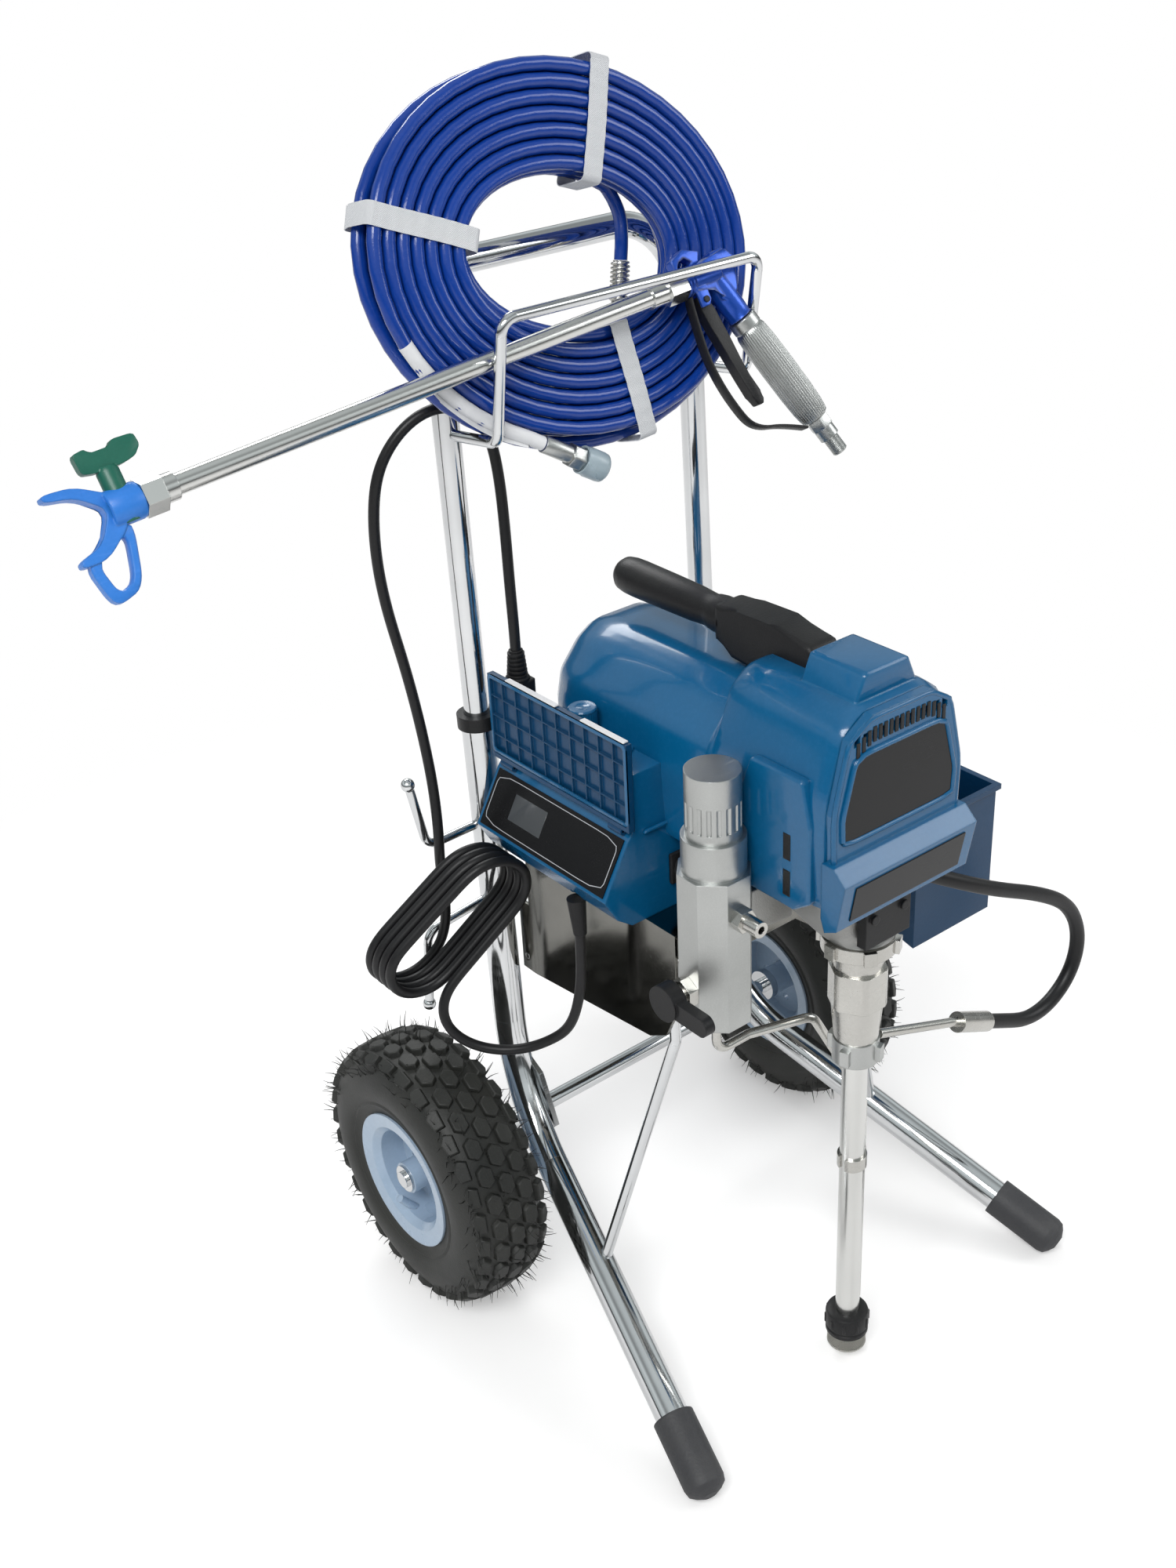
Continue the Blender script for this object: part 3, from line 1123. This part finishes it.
bm = bmesh.new()
flatOn(bm, [(-18, -10), (2, -10), (5, -22), (14, -28), (23, -18), (32, 6), (25, 15), (12, 13), (-2, 10), (-18, 10)],
       9, 0.0028, 4)
flatOn(bm, [(-17, 9), (-3, 9), (3, 20), (-12, 26), (-26, 20), (-26, 12), (-22, 12), (-21, 18), (-13, 20.5), (-6, 14)],
       4.5, 0.0013, 2)
flatOn(bm, [(10, 12), (22, 8), (31, 7), (24, 17), (12, 16)], 6, 0.0018, 2)
lathe(bm, [(0.0, -0.0215), (0.0105, -0.0215), (0.0110, -0.021), (0.0110, -0.0195), (0.0098, -0.019), (0.0098, -0.0182),
           (0.0110, -0.0177), (0.0110, -0.0162), (0.0098, -0.0157), (0.0098, -0.0149), (0.0110, -0.0144), (0.0112, 0.012),
           (0.0, 0.012)], gunPlace @ Matrix.Rotation(math.pi / 2, 4, "Y"), 40)
lathe(bm, [(0, 0), (0.0098, 0), (0.0104, 0.010), (0.0104, 0.026), (0.0098, 0.034), (0.0106, 0.0352), (0, 0.036)],
      gripPlace, 40)
for side in (-1, 1):
    flatAt = gunFlat @ Matrix.Translation((0, 0, side * 0.0075 - 0.0015))
    extrude(bm, inMetres([(-17, -22), (-17, -6), (-6, -6), (-6, -18), (-9, -22)]), 0.003, flatAt, 0.0008, 2)
gunCasting = makePiece("gunCasting", bm, "gun", 40)
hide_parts("gun_body")
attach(gunCasting, "gun")

flutes = {"count": 40, "depth": 0.55}
bm = bmesh.new()
steps = flutes["count"] * 6
gripProfile = [(11.2, 36.2, 0), (12, 37, 0), (12, 45.6, 0), (11.4, 46.4, 0), (12.0, 47.5, 0), (12.9, 50, 1),
               (13.7, 62, 1), (14, 84, 1), (13.8, 110, 1), (13.2, 126, 1), (12.4, 133, 1), (11.6, 137, 0),
               (10.2, 138.2, 0)]
rings = []
for r, h, ribbed in gripProfile:
    ring = []
    for i in range(steps):
        a = 2 * math.pi * i / steps
        dip = flutes["depth"] * max(0, math.cos(a * flutes["count"])) ** 0.5 if ribbed else 0
        ring.append(bm.verts.new(gripPlace @ (Vector(((r - dip) * math.cos(a), (r - dip) * math.sin(a), h)) / 1000)))
    rings.append(ring)
stitch(bm, rings)
bm.faces.new(rings[0][::-1])
bm.faces.new(rings[-1])
extrude(bm, inMetres(hexagon(10)), 0.010, gripPlace @ Matrix.Translation((0, 0, 0.1385)), 0.0008, 2)
thread = [(0, 148), (8.4, 148), (8.4, 158), (7, 159)]
for k in range(11):
    thread += [(5.9, 159.6 + k * 1.25), (6.6, 160.2 + k * 1.25)]
thread += [(5.6, 173.8), (3.2, 174), (3.2, 168), (0, 168)]
lathe(bm, inMetres(thread), gripPlace, 32)
grip = makePiece("flutedGrip", bm, "alloy", 24)
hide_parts("gun_grip")
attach(grip, "gun")

bm = bmesh.new()
flatOn(bm, [(-16, -13), (-10, -12.6), (-6.5, -13), (-3.5, -26), (-2.5, -34), (-1, -44), (0.4, -56), (1.8, -70), (4, -84),
            (8, -98), (9, -105), (7, -109), (2, -109), (-1.5, -100), (-5, -84), (-8, -68), (-11, -52), (-14, -38),
            (-15.6, -26)], 5, 0.0016, 3)
pinPlace = gunPlace @ Matrix.Translation((-0.011, 0, -0.017)) @ Matrix.Rotation(math.pi / 2, 4, "X")
lathe(bm, [(0.0026, -0.0088), (0.0055, -0.0088), (0.0055, -0.0096), (0.0026, -0.0102)], pinPlace, 28)
lathe(bm, [(0, -0.0104), (0.0026, -0.0104), (0.0026, 0.0104), (0, 0.0104)], pinPlace, 28)
blade = makePiece("triggerBlade", bm, "black", 40)
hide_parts("trigger")
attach(blade, "trigger")

strapLine = smoothLine([(-20, 0, -11.4), (-21.5, 0, -16), (-24, 0, -34), (-26.6, 0, -60), (-23.5, 0, -86), (-16, 0, -111),
                        (-10, 0, -121), (0, 0, -127), (12, 0, -129.8), (26, 0, -135), (39.6, 0, -141)], 2)
bm = bmesh.new()
strapWide, strapThin, corner = 0.005, 0.0011, (0.0004, 0.0006)
quarter = [(strapThin, strapWide - corner[1]), (strapThin - corner[0], strapWide)]
flat = [(-x, -y) for x, y in quarter] + [(x, -y) for x, y in quarter[::-1]] + quarter
flat += [(-x, y) for x, y in quarter[::-1]]
line = [gunPlace @ (p / 1000) for p in strapLine]
acrossGun = (gunPlace.to_3x3() @ Vector((0, 1, 0))).normalized()
rings = []
for i, p in enumerate(line):
    t = (line[min(i + 1, len(line) - 1)] - line[max(i - 1, 0)]).normalized()
    u = t.cross(acrossGun).normalized()
    rings.append([bm.verts.new(p + u * x + acrossGun * y) for x, y in flat])
bm.faces.new(rings[0][::-1])
stitch(bm, rings)
bm.faces.new(rings[-1])
strap = makePiece("guardStrap", bm, "black", 50)
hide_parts("trigger_guard")
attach(strap, "gun")

# tip guard and reversible tip
tipPlace = gunPlace @ Matrix.Translation((-0.5024, 0, 0))
tipFlat = tipPlace @ Matrix.Rotation(math.pi / 2, 4, "X")


def roundOutline(outline, cut=0.18):
    return [(p.x, p.y) for p in cutCorners(outline, 2, cut)]


bm = bmesh.new()
extrude(bm, inMetres(roundOutline([(-16, 8), (-40, 22), (-62, 24), (-62, 19), (-42, 15), (-24, 1), (-38, -19), (-56, -24),
        (-56, -29), (-38, -29), (-14, -12)])), 0.012, tipFlat @ Matrix.Translation((0, 0, -0.006)), 0.0012, 2)
lathe(bm, [(0.0086, -0.024), (0.0122, -0.024), (0.013, -0.023), (0.013, -0.002), (0.0122, 0), (0.0086, 0)],
      tipPlace @ Matrix.Rotation(math.pi / 2, 4, "Y"), 40)
loopCount = 40
rings = []
for outline in ([(-24, -11), (-54, -26), (-47, -60), (-24, -54), (-12, -13)],
                [(-26, -19), (-46, -30), (-41, -52), (-28, -48), (-20, -20)]):
    points = cutCorners(outline, 2, 0.18)
    rings.append(evenPoints(points + points[:1], loopCount)[:-1])
outerPoints, innerPoints = rings
levels = []
for ring, inset in ((outerPoints, 0.94), (outerPoints, 1.0), (outerPoints, 1.0), (outerPoints, 0.94),
                    (innerPoints, 1.05), (innerPoints, 1.0), (innerPoints, 1.0), (innerPoints, 1.05)):
    centre = sum(ring, Vector()) / loopCount
    levels.append([centre + (p - centre) * inset for p in ring])
heights = (-5, -4, 4, 5, 5, 4, -4, -5)
stitch(bm, [[bm.verts.new(tipFlat @ (Vector((p.x, p.y, h)) / 1000)) for p in ring]
            for ring, h in zip(levels, heights)], around=True)
guardV = makePiece("tipGuardV", bm, "tipBlue", 40)
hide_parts("tip_guard")
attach(guardV, "gun")
bm = bmesh.new()
turnPlace = tipPlace @ Matrix.Translation((-0.012, 0, 0))
lathe(bm, [(0, -0.012), (0.0074, -0.012), (0.008, -0.0113), (0.008, 0.024), (0.0066, 0.0268), (0, 0.0268)], turnPlace, 36)
extrude(bm, inMetres(roundOutline([(-18, 27), (-19, 41), (-10, 42.2), (-7, 38.5), (7, 38.5), (10, 42.2), (26, 41.5),
        (27, 33), (21, 27), (10, 25), (-8, 25)], 0.14)), 0.008, turnPlace @ Matrix.Rotation(math.pi / 2, 4, "X")
        @ Matrix.Translation((0, 0, -0.004)), 0.0012, 2)
tipKey = makePiece("tipKey", bm, "tipGreen", 40)
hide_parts("spray_tip")
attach(tipKey, "tip")

# hose ends
fittingA = axisMatrix((coilPoints[0] + coilTail * 14.2) / 1000, coilTail)
bm = bmesh.new()
lathe(bm, inMetres([(0, 0), (6.6, 0), (7, 0.6), (7, 25.4), (6.4, 26), (0, 26)]), fittingA, 36)
extrude(bm, inMetres(hexagon(10)), 0.012, fittingA @ Matrix.Translation((0, 0, 0.026)), 0.001, 2)
endA = makePiece("hoseFittingA", bm, "alloy", 38)
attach(endA, "hose")
bm = bmesh.new()
capProfile = [(0, 60), (10.4, 60), (11.6, 58.8), (12, 56), (12, 44), (11.4, 42.6), (11.4, 38.2), (9.8, 38.2),
              (9.8, 57), (0, 57)]
lathe(bm, inMetres(capProfile), fittingA, 40)
clearCap = makePiece("clearCap", bm, "capClear", 40)
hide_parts("hose_end_a")
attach(clearCap, "hose")

bm = bmesh.new()
wrapLine = [coilPoints[0] + coilTail * 13.5] + coilPoints[:7]
wrapLine = [p / 1000 for p in smoothLine(wrapLine, 1)]
sweep(bm, wrapLine, lambda t: [(r * math.cos(a) + 0.00004 * math.sin(9 * a + 20 * t), r * math.sin(a))
                               for k in range(24) for a in (2 * math.pi * k / 24,)
                               for r in (0.00568 + 0.00010 * math.sin(31 * t + 2 * a),)])
flap = []
outwardA = (coilPoints[3] - coil["mid"]).normalized()
for i in range(16):
    t = i / 15
    p = wrapLine[2 + int(t * (len(wrapLine) - 6))]
    wide = 0.0045 * min(1, 5 * t, 5 * (1 - t)) ** 0.5 if 0 < t < 1 else 0.0005
    sway = 0.0008 * math.sin(7 * t)
    base = p + outwardA * 0.0056
    flap.append((base, base + outwardA * wide * 0.5 + Vector((0, -0.002 + sway, 0)),
                 base + outwardA * wide + Vector((0, -0.0035 + sway * 2, 0))))
front = [[bm.verts.new(q) for q in row] for row in flap]
back = [[bm.verts.new(q + Vector((0, 0.0004, 0))) for q in row] for row in flap]
for sheet in (front, back):
    for a, b in zip(sheet, sheet[1:]):
        for k in range(2):
            bm.faces.new((a[k], a[k + 1], b[k + 1], b[k]))
for a, b, c, d in zip(front, front[1:], back, back[1:]):
    bm.faces.new((a[2], b[2], d[2], c[2]))
wrap = makePiece("hoseWrap", bm, "paper", 60)
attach(wrap, "hose")

endDir = (coilEnd[3] - coilEnd[2]).normalized()
fittingB = axisMatrix((coilEnd[3] + endDir * 0.3) / 1000, endDir)
bm = bmesh.new()
thread = [(0, 34), (7, 34), (7, 49), (6.4, 50), (0, 50)]
lathe(bm, inMetres([(0, 0), (6.1, 0), (6.1, 34), (0, 34)]), fittingB, 28)
lathe(bm, inMetres(thread), fittingB, 36)
extrude(bm, inMetres(hexagon(8.5)), 0.012, fittingB @ Matrix.Translation((0, 0, 0.050)), 0.0008, 2)
springGuard = {"turns": 9, "radius": 6.9, "start": 1.4, "long": 31}
helix = []
for i in range(springGuard["turns"] * 20 + 1):
    a = 2 * math.pi * i / 20
    h = springGuard["start"] + springGuard["long"] * i / springGuard["turns"] / 20
    r = springGuard["radius"]
    helix.append(fittingB @ (Vector((r * math.cos(a), r * math.sin(a), h)) / 1000))
sweep(bm, helix, circle(0.00115, 8))
endB = makePiece("hoseFittingB", bm, "steel", 40)
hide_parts("hose_end_b")
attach(endB, "hose")

# plug with its ribbed boot
bm = bmesh.new()
plugPlace = Matrix.Translation((-0.106, -0.018, 0.5703))
extrude(bm, [(-0.012, -0.0085), (-0.012, 0.0085), (-0.0085, 0.010), (0.0085, 0.010), (0.012, 0.0085), (0.012, -0.0085),
             (0.0085, -0.010), (-0.0085, -0.010)], 0.021, plugPlace, 0.0016, 3)
boot = [(0, 20), (10, 20), (10.2, 23), (9.2, 24)]
for k in range(6):
    r, h = 8.9 - 0.35 * k, 24 + 3.8 * k
    boot += [(r, h), (r, h + 2.2), (r - 1.5, h + 2.4), (r - 1.5, h + 3.6)]
boot += [(6.0, 47.4), (4.9, 48), (4.7, 48)]
lathe(bm, inMetres(boot), plugPlace, 36)
plugBody = makePiece("plugBody", bm, "rubber", 36)
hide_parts("power_plug")
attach(plugBody, "cart")
print("details built")


# stage
floorMesh = bpy.data.meshes.new("floorPlane")
floorMesh.from_pydata([(-14, -14, 0), (14, -14, 0), (14, 14, 0), (-14, 14, 0)], [], [(0, 1, 2, 3)])
floor = addObject("floorPlane", floorMesh)
floorMaterial = bpy.data.materials.new("floorPale")
floorMaterial.use_nodes = True
f = Graph(floorMaterial.node_tree)
shader = f.tree.nodes["Principled BSDF"]
speck = f.noise(f.objectPlace(), 3, 4)
f.link(f.mix(speck, (0.80, 0.80, 0.80), (0.84, 0.84, 0.835)), shader.inputs["Base Color"])
shader.inputs["Roughness"].default_value = 0.85
shader.inputs["Specular IOR Level"].default_value = 0.1
glow = f.add("Emission")
glow.inputs["Color"].default_value = (1, 1, 1, 1)
glow.inputs["Strength"].default_value = 0.26
addShader = f.add("AddShader")
mixCamera = f.add("MixShader")
rays = f.add("LightPath")
seenByCamera = rays.outputs["Is Camera Ray"]
for source, socket in ((shader.outputs[0], addShader.inputs[0]), (glow.outputs[0], addShader.inputs[1]),
                       (seenByCamera, mixCamera.inputs[0]), (shader.outputs[0], mixCamera.inputs[1]),
                       (addShader.outputs[0], mixCamera.inputs[2])):
    f.link(source, socket)
away = f.add("VectorMath", operation="LENGTH")
f.link(f.objectPlace(), away.inputs[0])
white = f.add("Emission")
white.inputs["Strength"].default_value = 1.0
fade = f.add("MixShader")
f.link(f.math("MULTIPLY", seenByCamera, f.ramp(away.outputs["Value"], 0.5, 1.15)), fade.inputs[0])
f.link(mixCamera.outputs[0], fade.inputs[1])
f.link(white.outputs[0], fade.inputs[2])
f.link(fade.outputs[0], f.tree.nodes["Material Output"].inputs[0])
floorMesh.materials.append(floorMaterial)
